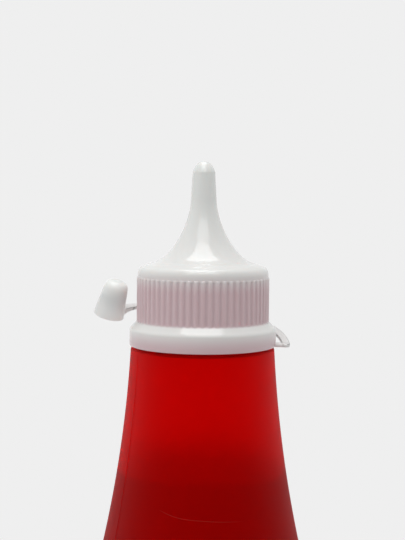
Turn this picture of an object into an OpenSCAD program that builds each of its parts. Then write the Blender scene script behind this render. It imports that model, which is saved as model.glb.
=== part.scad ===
// A squeeze bottle of ketchup with a screw-on spout cap. The spout's own tip cap hangs open on a
// strap that runs round the back of the cap. Millimetres, +Z up, origin at the centre of the base.

/* [Bottle] */
// Radius of the body at its widest
body_r = 35; // [28:0.5:42]
// Height of the shoulder that the cap stands over
shoulder_h = 135.6; // [115:0.1:165]
// How far the cap's band stands out past the shoulder
shoulder_inset = 0.4; // [0.2:0.1:2]
// Lean of the side just under the shoulder, in degrees
shoulder_lean = 3.3; // [1:0.1:6]
// Radius of the shoulder's rounded edge
shoulder_edge_r = 1; // [0.4:0.1:2]
// Height of the hollow flare under the shoulder
flare_h = 66; // [50:1:80]
// Height over which the flare turns into the upright side
turn_h = 24; // [15:1:35]
// Radius of the rounded heel
heel_r = 5; // [2:0.5:8]
// Width of the ring that the bottle stands on
foot_w = 4; // [2:0.5:6]
// Depth of the hollow under the base, inside the foot ring
base_rise = 2; // [1:0.1:4]
// Thickness of the body's wall
wall = 1.2; // [0.8:0.1:2]
// Thickness of the base
base_t = 1.6; // [1:0.1:3]

/* [Neck] */
// Outer radius of the neck
neck_r = 18.6; // [15:0.1:23]
// Thickness of the neck's wall
neck_wall = 1.8; // [1:0.1:2.5]
// Height of the neck above the shoulder
neck_h = 23.4; // [18:0.1:30]

/* [Ketchup] */
// Height of the ketchup's surface above the base
fill_h = 96; // [70:1:110]

/* [Cap] */
// Clearance between the neck and the cap's bore
cap_fit = 0.2; // [0.1:0.05:0.5]
// Gap between the bottle's shoulder and the band
band_gap = 0.4; // [0.1:0.1:1]
// Thickness of the skirt between its ribs
skirt_wall = 1.6; // [1:0.1:2]
// Number of grip ribs
rib_count = 60; // [40:2:80]
// How far the ribs stand out
rib_depth = 0.4; // [0.4:0.1:0.8]
// How far below the roof's rounded edge the ribs end
rib_top_drop = 0.4; // [0.2:0.1:4]
// How far the band stands out past the skirt
band_step = 2.6; // [1.5:0.1:4]
// Height of the band's upright wall
band_h = 5.5; // [3:0.1:8]
// Height of the sloping edge over the band
band_slope_h = 2.4; // [1.5:0.1:5]
// Thickness of the band's wall
band_wall = 1.6; // [1:0.1:2.5]
// Radius of the corner between the band's wall and its sloping edge
band_corner_r = 1.5; // [0.5:0.1:3]
// Radius of the band's lower edge
band_edge_r = 0.4; // [0.2:0.1:0.8]
// Thickness of the roof over the neck's rim
roof_t = 1.8; // [1.2:0.1:3]
// How far in from the skirt the spout's flare begins
roof_inset = 4; // [2.5:0.1:5]
// How much higher than the roof's edge the flare begins
roof_crown = 1; // [0:0.1:2]
// Width of the roof's rounded edge
roof_edge_w = 1.6; // [1:0.1:3]
// Height of the roof's rounded edge
roof_edge_h = 2.6; // [1:0.1:4]
// How far the plain collar over the ribs lies inside their crests
collar_inset = 0.3; // [0.1:0.1:0.3]

/* [Spout] */
// Height of the spout's flare, from the roof up to the slim spout
spout_flare_h = 20; // [14:0.5:28]
// How full the flare is: 2 is an ellipse, less is flatter
spout_curve = 1.65; // [1.3:0.05:2.2]
// Radius of the slim spout at its foot
spout_r = 4; // [3:0.1:5]
// Height of the slim spout, up to the nose
spout_h = 8.4; // [6:0.1:14]
// Radius of the spout under its nose
tip_r = 3.5; // [2.5:0.1:4.5]
// Height of the rounded nose at the tip
nose_h = 3.3; // [2:0.1:5]
// How full the nose is: 2 is an ellipse, less is flatter
nose_curve = 1.4; // [1.1:0.05:2]
// Radius of the flat end of the tip
tip_flat_r = 1.1; // [1.1:0.1:2]
// Radius of the hole in the tip
orifice_r = 0.9; // [0.5:0.1:0.9]
// Thickness of the spout's wall
spout_wall = 1.4; // [1:0.1:1.8]

/* [Strap and tip cap] */
// Width of the strap
strap_w = 2.5; // [2:0.1:4]
// Width of the strap where it meets the tip cap
strap_end_w = 4.4; // [3:0.1:6]
// Thickness of the strap
strap_t = 1.1; // [0.8:0.1:1.6]
// Thickness of the strap where it meets the tip cap
strap_end_t = 2.4; // [1.1:0.1:4]
// Gap between the strap and the band
strap_gap = 1.9; // [1:0.1:4]
// Width of the bridge that joins the strap to the band
bridge_w = 3.6; // [2:0.1:6]
// Height of the strap's crest above the foot of the band
strap_crest_h = 11.2; // [6:0.1:16]
// Angle at which the strap leaves its arc, in degrees
strap_arc_end = 140; // [120:1:160]
// Length of the strap's straight end, to the middle of the tip cap
strap_tail = 14.8; // [11:0.1:20]
// Drop of the strap from its crest to the tip cap
strap_drop = 0.4; // [0:0.1:4]
// Lean of the hanging tip cap, in degrees
tip_cap_lean = 20; // [0:1:35]
// Clearance between the tip cap's bore and the spout
tip_cap_fit = 0.05; // [0:0.05:0.2]
// Depth of the tip cap's bore
tip_cap_depth = 10; // [8:0.1:12]
// Thickness of the tip cap's wall at its rim
tip_cap_wall = 1; // [0.8:0.1:1.4]
// Thickness of the tip cap's closed end
tip_cap_end_t = 1.9; // [1:0.1:3]
// Draft of the tip cap's side, in degrees
tip_cap_draft = 5.2; // [1:0.1:7]
// Radius of the tip cap's rounded corner
tip_cap_corner_r = 2.6; // [0.6:0.1:2.8]
// Height of the crown on the tip cap's end
tip_cap_crown = 0.2; // [0.1:0.1:0.6]

/* [Hidden] */
$fn = 96;
ARC_STEPS = 12;
CURVE_STEPS = 20;
NOSE_STEPS = 6;
RIB_STEPS = 6;
RIB_ROOT = 0.3;
COLLAR_DROP = 0.9;
STRAP_STEPS = 26;
TAIL_STEPS = 6;
BRIDGE_LAP = 0.8;
BRIDGE_STEP = 0.1;
BRIDGE_END = -3;
STRAP_BEVEL = 0.3;
STRAP_ROUND = [0.1, 0.3, 0.6, 1];
STRAP_ROUND_R = 1.2;
STRAP_RISE_POWER = 1.05;
STRAP_RISE_START = 2;
STRAP_CREST_ANGLE = 135;
STRAP_BANK_TURN = 30;

// Cap radii, built outwards from the neck
bore_r = neck_r + cap_fit;
skirt_r = bore_r + skirt_wall;
rib_r = skirt_r + rib_depth;
band_r = skirt_r + band_step;
collar_r = rib_r - collar_inset;
roof_r = skirt_r - roof_inset;
shoulder_r = band_r - shoulder_inset;
neck_in_r = neck_r - neck_wall;

// Cap heights above the base
band_z = shoulder_h + band_gap;
rim_z = shoulder_h + neck_h;
roof_z = rim_z + roof_t;
crown_z = roof_z + roof_crown;
spout_z = crown_z + spout_flare_h;
nose_z = spout_z + spout_h;
tip_z = nose_z + nose_h;
rib_top_z = roof_z - roof_edge_h - rib_top_drop;
collar_z = rib_top_z - COLLAR_DROP;
slope_z = band_z + band_h + band_slope_h;

// Strap and tip cap
strap_r = band_r + strap_gap + strap_w / 2;
strap_start = BRIDGE_END - bridge_w / strap_r * 180 / PI;
strap_crest_z = band_z + strap_crest_h;
tip_cap_r = spout_radius(tip_z - tip_cap_depth) + tip_cap_fit + tip_cap_wall;
tip_cap_h = tip_cap_depth + tip_cap_end_t;
tip_cap_top_r = tip_cap_r - tip_cap_h * tan(tip_cap_draft);

// A list turned end for end
function reverse(list) = [for (i = [len(list) - 1 : -1 : 0]) list[i]];

// Points on an arc about c, from one angle to another
function arc(c, r, from, to, steps = ARC_STEPS) =
    [for (i = [0 : steps]) let (a = from + (to - from) * i / steps) c + r * [cos(a), sin(a)]];

// Lean at the foot of the flare that makes flare and turn together widen the body by grow
function foot_lean(grow, low, high, tries = 24) =
    let (mid = (low + high) / 2, got = flare_h * tan((shoulder_lean + mid) / 2) + turn_h * tan(mid / 2))
    tries == 0 ? mid : got < grow ? foot_lean(grow, mid, high, tries - 1) : foot_lean(grow, low, mid, tries - 1);

// The body's outer side, from the heel's top to the shoulder: an outward turn, then a hollow flare
function side() =
    let (
        lean = foot_lean(body_r - shoulder_r, 0, 60),
        turn_r = turn_h / sin(lean),
        flare_r = flare_h / (sin(lean) - sin(shoulder_lean)),
        turn_z = shoulder_h - shoulder_edge_r - flare_h - turn_h,
        turn_c = [body_r - turn_r, turn_z],
        join = turn_c + turn_r * [cos(lean), sin(lean)],
        flare_c = join + flare_r * [cos(lean), sin(lean)]
    )
    concat(
        arc(turn_c, turn_r, 0, lean, CURVE_STEPS),
        [for (p = arc(flare_c, flare_r, 180 + lean, 180 + shoulder_lean, 2 * CURVE_STEPS)) if (p != join) p]
    );

// The body's inner side, a wall's thickness in from the outer side
function inner_side() = [for (p = side()) p - [wall, 0]];

// The inside of the heel, from the floor up to the inner side
function inner_heel() =
    let (r = heel_r - wall, z = base_rise + base_t + r)
    arc([body_r - wall - r, z], r, -90, 0);

// Radius of the bottle's inside at a height, read from the inner side
function inside_radius(z) = lookup(z, [for (p = inner_side()) [p[1], p[0]]]);

// Radius of the slim spout at a height, which tapers from spout_r to tip_r
function spout_radius(z) = tip_r + (spout_r - tip_r) * max(0, nose_z - z) / spout_h;

// The rounded nose, from its flat end down to the spout's side, grown outwards by grow and ending at high
function nose(high, grow = 0) =
    [for (i = [0 : NOSE_STEPS]) let (a = 90 * i / NOSE_STEPS, n = 2 / nose_curve)
        [tip_flat_r + grow + (tip_r - tip_flat_r) * pow(sin(a), n), high - nose_h + nose_h * pow(cos(a), n)]];

// A spout's flare from (wide, low) up to (slim, high), a quarter of a superellipse
function flare(wide, low, slim, high) =
    [for (i = [0 : CURVE_STEPS]) let (a = 90 * i / CURVE_STEPS, n = 2 / spout_curve)
        [wide - (wide - slim) * pow(sin(a), n), high - (high - low) * pow(cos(a), n)]];

// Outline of the ribs: rounded ridges, whose sides run on below the skirt's surface to their roots
function rib_outline() =
    [for (i = [0 : rib_count * RIB_STEPS - 1])
        let (a = 360 * i / rib_count / RIB_STEPS, ridge = sqrt(max(0, cos(a * rib_count))))
        (skirt_r - RIB_ROOT + (rib_depth + RIB_ROOT) * ridge) * [cos(a), sin(a)]];

// Height of the strap's upper face along its arc: flat at the bridge, then rising to the crest
function strap_height(a) =
    let (u = max(0, min(1, (a - STRAP_RISE_START) / (STRAP_CREST_ANGLE - STRAP_RISE_START))))
    band_z + strap_t + (strap_crest_h - strap_t) * pow(sin(90 * u), STRAP_RISE_POWER);

// Lean of the strap's face along its arc
function strap_bank(a) =
    tip_cap_lean * sin(90 * max(0, min(1, (a - STRAP_RISE_START) / STRAP_BANK_TURN)));

// Eight corners of the strap's section, whose upper face is centred on p and leans by bank
function strap_section(p, a, bank, w, t) =
    let (
        out = [cos(a) * cos(bank), sin(a) * cos(bank), sin(bank)],
        up = [-cos(a) * sin(bank), -sin(a) * sin(bank), cos(bank)],
        b = STRAP_BEVEL
    )
    [for (c = [[w / 2 - b, 0], [w / 2, -b], [w / 2, b - t], [w / 2 - b, -t],
               [b - w / 2, -t], [-w / 2, b - t], [-w / 2, -b], [b - w / 2, 0]])
        p + c[0] * out + c[1] * up];

// The strap's section at an angle on its arc
function arc_section(a, w) =
    strap_section([strap_r * cos(a), strap_r * sin(a), strap_height(a)], a, strap_bank(a), w, strap_t);

// Middle of the strap's upper face on its straight end, a share t of the way to the tip cap
function tail_point(t) =
    let (a = strap_arc_end)
    [strap_r * cos(a) - strap_tail * t * sin(a), strap_r * sin(a) + strap_tail * t * cos(a),
     strap_crest_z - strap_drop * (1 - cos(90 * t))];

// Every section of the strap, from the bridge round the back to the tip cap's wall
function strap_sections() =
    let (reach = 1 - (tip_cap_r - tip_cap_wall / 2) / strap_tail)
    concat(
        [for (s = STRAP_ROUND)
            let (a = strap_start + STRAP_ROUND_R * (1 - sqrt(1 - s * s)) / strap_r * 180 / PI)
            arc_section(a, strap_w - 2 * STRAP_ROUND_R * (1 - s) * 0.8)],
        [for (i = [1 : STRAP_STEPS])
            arc_section(strap_start + (strap_arc_end - strap_start) * i / STRAP_STEPS, strap_w)],
        [for (i = [1 : TAIL_STEPS])
            let (grow = pow(i / TAIL_STEPS, 3))
            strap_section(tail_point(reach * i / TAIL_STEPS), strap_arc_end, tip_cap_lean,
                          strap_w + (strap_end_w - strap_w) * grow,
                          strap_t + (strap_end_t - strap_t) * grow)]
    );

// The blow-moulded bottle: a hollow body on a foot ring, with a plain neck
module bottle() {
    foot_r = body_r - heel_r;
    color("firebrick")
    rotate_extrude()
    polygon(concat(
        [[0, base_rise], [foot_r - foot_w - base_rise, base_rise], [foot_r - foot_w, 0]],
        arc([foot_r, heel_r], heel_r, -90, 0),
        side(),
        arc([shoulder_r - shoulder_edge_r, shoulder_h - shoulder_edge_r], shoulder_edge_r, shoulder_lean, 90),
        [[neck_r, shoulder_h], [neck_r, rim_z], [neck_in_r, rim_z], [neck_in_r, shoulder_h - wall]],
        reverse(inner_side()),
        reverse(inner_heel()),
        [[0, base_rise + base_t]]
    ));
}

// The ketchup, which fills the bottle up to its surface
module ketchup() {
    color("darkred")
    rotate_extrude()
    polygon(concat(
        [[0, base_rise + base_t]],
        inner_heel(),
        [for (p = inner_side()) if (p[1] < fill_h) p],
        [[inside_radius(fill_h), fill_h], [0, fill_h]]
    ));
}

// The roof's rounded edge, a quarter of an ellipse from near its top down to the collar
function roof_edge() =
    [for (i = [0 : ARC_STEPS]) let (a = 75 * (1 - i / ARC_STEPS))
        [collar_r - roof_edge_w * (1 - cos(a)), roof_z - roof_edge_h * (1 - sin(a))]];

// The rounded corner between the band's sloping edge and its wall
function band_corner() =
    let (lean = atan2(band_step, band_slope_h), z = band_z + band_h - band_corner_r * tan(lean / 2))
    arc([band_r - band_corner_r, z], band_corner_r, lean, 0);

// The cap's turned body: band, skirt, roof and hollow spout
module cap_shell() {
    inner_low = rim_z + (roof_t + roof_crown) / 2;
    rotate_extrude()
    polygon(concat(
        [[orifice_r, tip_z]],
        nose(tip_z),
        reverse(flare(roof_r, crown_z, spout_r, spout_z)),
        roof_edge(),
        [[collar_r, collar_z], [skirt_r, collar_z - (collar_r - skirt_r)], [skirt_r, slope_z]],
        band_corner(),
        arc([band_r - band_edge_r, band_z + band_edge_r], band_edge_r, 0, -90),
        [[band_r - band_wall, band_z], [band_r - band_wall, band_z + band_h - band_wall],
         [bore_r, slope_z - band_wall], [bore_r, rim_z], [roof_r - spout_wall / 2, rim_z]],
        flare(roof_r - spout_wall / 2, inner_low, spout_r - spout_wall, spout_z - spout_wall),
        [[tip_r - spout_wall, nose_z], [orifice_r, tip_z - spout_wall]]
    ));
}

// The grip ribs round the skirt, bevelled at the top, with their feet inside the sloping edge
module ribs() {
    foot_z = slope_z - band_wall;
    bevel = rib_depth + RIB_ROOT;
    intersection() {
        translate([0, 0, foot_z])
        linear_extrude(rib_top_z + bevel - foot_z)
        difference() {
            polygon(rib_outline());
            circle(bore_r + skirt_wall / 2);
        }
        rotate_extrude()
        polygon([[0, foot_z - 1], [rib_r + bevel, foot_z - 1], [rib_r + bevel, rib_top_z - 2 * bevel],
                 [skirt_r - RIB_ROOT, rib_top_z], [0, rib_top_z]]);
    }
}

// The strap with the bridge that joins it to the band
module strap() {
    sections = strap_sections();
    n = len(sections);
    polyhedron(
        points = [for (s = sections) each s],
        faces = concat(
            [[for (k = [0 : 7]) k]],
            [for (i = [0 : n - 2]) for (k = [0 : 7])
                [i * 8 + k, i * 8 + 8 + k, i * 8 + 8 + (k + 1) % 8, i * 8 + (k + 1) % 8]],
            [[for (k = [7 : -1 : 0]) (n - 1) * 8 + k]]
        )
    );
    // The bridge is a step thicker than the strap, so that no two of their faces share a plane
    rotate([0, 0, strap_start + 1])
    translate([0, 0, band_z + BRIDGE_STEP])
    rotate_extrude(angle = BRIDGE_END - strap_start)
    translate([band_r - BRIDGE_LAP, 0])
    square([strap_gap + 2 * BRIDGE_LAP, strap_t]);
}

// The tip cap, standing on its rim
module tip_cap() {
    corner = [tip_cap_top_r - tip_cap_corner_r, tip_cap_h - tip_cap_corner_r];
    rotate_extrude()
    polygon(concat(
        [[tip_cap_r - tip_cap_wall, 0], [tip_cap_r, 0]],
        arc(corner, tip_cap_corner_r, tip_cap_draft, 70),
        [[tip_flat_r, tip_cap_h + tip_cap_crown], [0, tip_cap_h + tip_cap_crown], [0, tip_cap_depth]],
        nose(tip_cap_depth, tip_cap_fit)
    ));
}

// The white moulding: cap, strap and tip cap in one piece
module cap() {
    rim = tail_point(1) + strap_end_t * [cos(strap_arc_end) * sin(tip_cap_lean),
                                         sin(strap_arc_end) * sin(tip_cap_lean), -cos(tip_cap_lean)];
    color("whitesmoke")
    union() {
        cap_shell();
        ribs();
        strap();
        translate(rim)
        rotate([0, -tip_cap_lean, strap_arc_end])
        tip_cap();
    }
}

bottle();
ketchup();
cap();
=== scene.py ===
"""A squeeze bottle of ketchup with a white spout cap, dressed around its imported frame.

The bottle is a translucent red shell, the ketchup fills it up to its surface, and the white cap is one
moulding: a ribbed screw cap with a spout, a strap that runs round the back, and a tip cap that hangs open at
its end. Sizes are in millimetres and angles in degrees, and a mesh or a material takes them in metres.
"""

from __future__ import annotations

import logging
import math
from collections.abc import Sequence
from dataclasses import dataclass
from enum import Enum

import bmesh
import bpy
from mathutils import Matrix, Vector


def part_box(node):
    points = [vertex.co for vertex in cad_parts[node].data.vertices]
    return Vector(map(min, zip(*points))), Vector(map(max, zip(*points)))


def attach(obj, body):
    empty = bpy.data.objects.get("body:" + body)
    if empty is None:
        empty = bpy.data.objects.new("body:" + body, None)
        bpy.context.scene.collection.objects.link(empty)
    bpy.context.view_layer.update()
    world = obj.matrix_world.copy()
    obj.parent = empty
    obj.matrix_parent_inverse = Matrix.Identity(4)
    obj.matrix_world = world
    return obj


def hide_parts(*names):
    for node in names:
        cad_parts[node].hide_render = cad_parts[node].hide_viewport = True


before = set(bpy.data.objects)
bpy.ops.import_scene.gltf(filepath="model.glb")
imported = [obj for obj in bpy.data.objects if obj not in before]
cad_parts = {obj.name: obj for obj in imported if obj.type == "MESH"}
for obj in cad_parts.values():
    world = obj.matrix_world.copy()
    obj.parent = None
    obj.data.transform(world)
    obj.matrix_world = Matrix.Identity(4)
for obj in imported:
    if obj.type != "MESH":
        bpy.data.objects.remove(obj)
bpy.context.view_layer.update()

MM = 0.001
WELD = 1e-7
LOG = logging.getLogger("ketchup_bottle")

Point = tuple[float, float]
Place = tuple[float, float, float]
Colour = tuple[float, float, float]
Socket = bpy.types.NodeSocket
Feed = Socket | float | Colour
Setting = str | bool | bpy.types.NodeTree


class Slot(Enum):
    """The record's material slots, which name what each piece is made of."""

    BOTTLE = "red_plastic"
    KETCHUP = "ketchup"
    CAP = "white_plastic"


# ---------------------------------------------------------------- outlines


def arc(centre: Point, radius: float, start: float, end: float, steps: int = 10) -> list[Point]:
    """Points on an arc.

    Args:
        centre: Middle of the arc, as (radius from the axis, height).
        radius: Radius of the arc.
        start: Angle of its first point, in degrees.
        end: Angle of its last point, in degrees.
        steps: Number of stretches between points.

    Returns:
        The points in order, with both ends.
    """
    turns = [math.radians(start + (end - start) * i / steps) for i in range(steps + 1)]
    return [(centre[0] + radius * math.cos(t), centre[1] + radius * math.sin(t)) for t in turns]


def stretch(start: Point, end: Point, steps: int) -> list[Point]:
    """Points between two points, without either of them.

    Args:
        start: The point that the stretch leaves.
        end: The point that it reaches.
        steps: Number of equal parts that the stretch is cut into.

    Returns:
        The points inside the stretch, in order.
    """
    shares = [i / steps for i in range(1, steps)]
    return [(start[0] + (end[0] - start[0]) * s, start[1] + (end[1] - start[1]) * s) for s in shares]


def superellipse(wide: Point, slim: Point, fullness: float, steps: int = 26) -> list[Point]:
    """Points on a hollow quarter curve from a wide, low point up to a slim, high one.

    Args:
        wide: The low end, as (radius, height).
        slim: The high end, as (radius, height).
        fullness: 2 gives an ellipse, less a flatter curve.
        steps: Number of stretches between points.

    Returns:
        The points in order, with both ends.
    """
    power = 2 / fullness
    turns = [math.pi / 2 * i / steps for i in range(steps + 1)]
    return [
        (
            wide[0] - (wide[0] - slim[0]) * math.sin(t) ** power,
            slim[1] - (slim[1] - wide[1]) * max(0.0, math.cos(t)) ** power,
        )
        for t in turns
    ]


# ---------------------------------------------------------------- meshes


def spun(outline: Sequence[Point], segments: int) -> bmesh.types.BMesh:
    """Spins a closed outline about the Z axis into a solid of revolution.

    Args:
        outline: Points as (radius, height), in order round the section. An outline that begins and ends on
            the axis stays open there, and any other is closed.
        segments: Number of steps in the full turn.

    Returns:
        The mesh, in metres, with its poles merged and its faces turned outwards.
    """
    mesh = bmesh.new()
    points = [mesh.verts.new((r * MM, 0.0, z * MM)) for r, z in outline]
    ends = list(zip(points, points[1:]))
    on_axis = outline[0][0] == 0 and outline[-1][0] == 0
    if not on_axis:
        ends.append((points[-1], points[0]))
    edges = [mesh.edges.new(pair) for pair in ends]
    bmesh.ops.spin(
        mesh,
        geom=points + edges,
        cent=(0, 0, 0),
        axis=(0, 0, 1),
        dvec=(0, 0, 0),
        angle=math.tau,
        steps=segments,
        use_merge=True,
        use_duplicate=False,
    )
    bmesh.ops.remove_doubles(mesh, verts=mesh.verts[:], dist=WELD)
    bmesh.ops.dissolve_degenerate(mesh, edges=mesh.edges[:], dist=WELD / 10)
    bmesh.ops.recalc_face_normals(mesh, faces=mesh.faces[:])
    return mesh


def finished(mesh: bmesh.types.BMesh, name: str, crease: float = 35.0) -> bpy.types.Object:
    """Turns a bmesh into a smooth-shaded object at the origin.

    Args:
        mesh: The mesh, which is freed.
        name: Name of the new object.
        crease: Edges that turn by more than this, in degrees, stay sharp.

    Returns:
        The object, linked to the scene.
    """
    data = bpy.data.meshes.new(name)
    mesh.to_mesh(data)
    mesh.free()
    data.shade_smooth()
    data.set_sharp_from_angle(angle=math.radians(crease))
    made = bpy.data.objects.new(name, data)
    bpy.context.scene.collection.objects.link(made)
    return made


def seat(piece: bpy.types.Object, node: str, slot: Slot) -> bpy.types.Object:
    """Lets a piece stand for its CAD node and ride on the part's one body, and logs its material slot.

    Args:
        piece: The finished piece.
        node: The CAD node that it stands for.
        slot: What it is made of.

    Returns:
        The same piece.
    """
    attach(piece, "root")
    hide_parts(node)
    LOG.info("%s stands for %s: %d faces, %s", piece.name, node, len(piece.data.polygons), slot.value)
    return piece


# ---------------------------------------------------------------- nodes


@dataclass
class Nodes:
    """A short hand for building a node tree."""

    tree: bpy.types.NodeTree

    def add(self, kind: str, settings: dict[str, Setting] | None = None, **inputs: Feed) -> bpy.types.Node:
        """Adds a node.

        Args:
            kind: Type of the node, such as "ShaderNodeMath".
            settings: Properties of the node itself.
            **inputs: Its sockets by name, with underscores for spaces. A socket is linked and a value is set.

        Returns:
            The node.
        """
        node = self.tree.nodes.new(kind)
        for name, value in (settings or {}).items():
            setattr(node, name, value)
        for name, value in inputs.items():
            self.put(node.inputs[name.replace("_", " ")], value)
        return node

    def put(self, socket: Socket, value: Feed) -> None:
        """Links a socket, or sets its value, in one call.

        Args:
            socket: The input socket.
            value: The socket that feeds it, or its value.
        """
        if isinstance(value, Socket):
            self.tree.links.new(value, socket)
        else:
            socket.default_value = value

    def math(self, operation: str, *values: Feed) -> Socket:
        """A Math node's result.

        Args:
            operation: Name of the operation, such as "MULTIPLY".
            *values: Sockets or numbers, in the node's order.

        Returns:
            The output socket.
        """
        node = self.add("ShaderNodeMath", {"operation": operation})
        for socket, value in zip(node.inputs, values):
            self.put(socket, value)
        return node.outputs[0]

    def product(self, first: Feed, *others: Feed) -> Feed:
        """The product of several sockets or numbers.

        Args:
            first: The first one.
            *others: The rest.

        Returns:
            The output socket.
        """
        for other in others:
            first = self.math("MULTIPLY", first, other)
        return first

    def radius(self, x: Socket, y: Socket) -> Socket:
        """Distance from the Z axis of a point at x and y."""
        return self.math("SQRT", self.math("ADD", self.product(x, x), self.product(y, y)))

    def step(self, value: Feed, low: float, high: float) -> Socket:
        """A smooth step of a value.

        Args:
            value: The socket or number.
            low: Where the step is 0.
            high: Where it is 1, which may be less than low.

        Returns:
            The output socket.
        """
        node = self.add("ShaderNodeMapRange", {"interpolation_type": "SMOOTHSTEP", "clamp": True})
        flip = high < low
        for name, number in (("From Min", min(low, high)), ("From Max", max(low, high))):
            node.inputs[name].default_value = number
        node.inputs["To Min"].default_value = float(flip)
        node.inputs["To Max"].default_value = float(not flip)
        self.put(node.inputs["Value"], value)
        return node.outputs["Result"]

    def near(self, value: Feed, middle: Feed, reach: float) -> Socket:
        """A mask that is 1 where a value equals middle and 0 where it is further than reach from it."""
        off = self.math("ABSOLUTE", self.math("SUBTRACT", value, middle))
        return self.step(off, reach, 0.0)

    def mix(self, share: Feed, first: Feed, second: Feed) -> Socket:
        """A mix of two colours.

        Args:
            share: How much of the second shows, a socket or a number.
            first: The first colour, a socket or (r, g, b).
            second: The second colour, a socket or (r, g, b).

        Returns:
            The colour socket.
        """
        node = self.add("ShaderNodeMix", {"data_type": "RGBA"})
        self.put(node.inputs[0], share)
        for socket, colour in ((node.inputs[6], first), (node.inputs[7], second)):
            self.put(socket, (*colour, 1.0) if isinstance(colour, tuple) else colour)
        return node.outputs[2]

    def noise(self, where: Socket, scale: Feed, detail: Feed = 2.0) -> Socket:
        """A cloudy pattern between 0 and 1 at a scale of so many swells to the metre."""
        node = self.add("ShaderNodeTexNoise", None, Vector=where, Scale=scale, Detail=detail)
        return node.outputs["Fac"]

    def place(self) -> tuple[Socket, list[Socket]]:
        """The piece's own coordinates, in metres.

        Returns:
            The whole vector, and its x, y and z.
        """
        where = self.add("ShaderNodeTexCoord").outputs["Object"]
        parts = self.add("ShaderNodeSeparateXYZ", None, Vector=where)
        return where, list(parts.outputs)


# ---------------------------------------------------------------- finishes


def darker(colour: Colour, share: float) -> Colour:
    """A colour cut to a share of its light."""
    return tuple(share * c for c in colour)


@dataclass(frozen=True)
class MouldedSurface:
    """The fine surface that both plastics share: a soft unevenness, worn patches and a clouded colour."""

    name: str = "moulded_surface"
    grain: float = 2600.0
    grain_share: float = 0.06
    patch: float = 60.0

    def build(self) -> bpy.types.NodeTree:
        """Builds the node group, whose scales are in swells to the metre.

        Returns:
            A group that takes Vector, Swell, Roughness, Rub, Cloud Scale and Cloud Detail, and puts out
            Height for a Bump node, Roughness, and Cloud as a mask.
        """
        group = bpy.data.node_groups.new(self.name, "ShaderNodeTree")
        face = group.interface
        face.new_socket("Vector", in_out="INPUT", socket_type="NodeSocketVector")
        for name in ("Swell", "Roughness", "Rub", "Cloud Scale", "Cloud Detail"):
            face.new_socket(name, in_out="INPUT", socket_type="NodeSocketFloat")
        for name in ("Height", "Roughness", "Cloud"):
            face.new_socket(name, in_out="OUTPUT", socket_type="NodeSocketFloat")
        kit = Nodes(group)
        given = kit.add("NodeGroupInput").outputs
        swell = kit.noise(given["Vector"], given["Swell"], 1.0)
        grain = kit.noise(given["Vector"], self.grain, 3.0)
        patches = kit.math("SUBTRACT", kit.noise(given["Vector"], self.patch, 5.0), 0.5)
        result = kit.add("NodeGroupOutput").inputs
        kit.put(result["Height"], kit.math("MULTIPLY_ADD", grain, self.grain_share, swell))
        kit.put(result["Roughness"], kit.math("MULTIPLY_ADD", patches, given["Rub"], given["Roughness"]))
        kit.put(result["Cloud"], kit.noise(given["Vector"], given["Cloud Scale"], given["Cloud Detail"]))
        return group


@dataclass(frozen=True)
class Finish:
    """What every finish has: a name, a base roughness and the height of its unevenness, in metres."""

    name: str
    roughness: float
    relief: float = 0.00002

    def start(self) -> tuple[Nodes, bpy.types.Node, bpy.types.Material]:
        """Makes the material with its Principled shader.

        Returns:
            The node kit, the shader and the material.
        """
        material = bpy.data.materials.new(self.name)
        material.use_nodes = True
        kit = Nodes(material.node_tree)
        return kit, material.node_tree.nodes["Principled BSDF"], material


@dataclass(frozen=True)
class MouldedFinish(Finish):
    """A moulded plastic, whose surface and colour come from the shared moulded surface."""

    swell: float = 90.0
    rub: float = 0.08
    cloud: float = 45.0
    cloud_detail: float = 2.0
    cloud_share: float = 0.12
    cloud_shade: float = 0.92

    def surface(self, kit: Nodes, shader: bpy.types.Node, where: Socket) -> Socket:
        """Feeds the shader's Roughness and Normal from the shared moulded surface.

        Args:
            kit: The material's node kit.
            shader: The Principled shader.
            where: The piece's own coordinates.

        Returns:
            How much of the darker shade shows in the colour.
        """
        group = kit.add("ShaderNodeGroup", {"node_tree": bpy.data.node_groups[MouldedSurface.name]})
        for name, value in (
            ("Vector", where),
            ("Swell", self.swell),
            ("Roughness", self.roughness),
            ("Rub", self.rub),
            ("Cloud Scale", self.cloud),
            ("Cloud Detail", self.cloud_detail),
        ):
            kit.put(group.inputs[name], value)
        bump = kit.add("ShaderNodeBump", None, Height=group.outputs["Height"], Distance=self.relief)
        kit.put(shader.inputs["Normal"], bump.outputs["Normal"])
        kit.put(shader.inputs["Roughness"], group.outputs["Roughness"])
        return kit.product(group.outputs["Cloud"], self.cloud_share)


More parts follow.
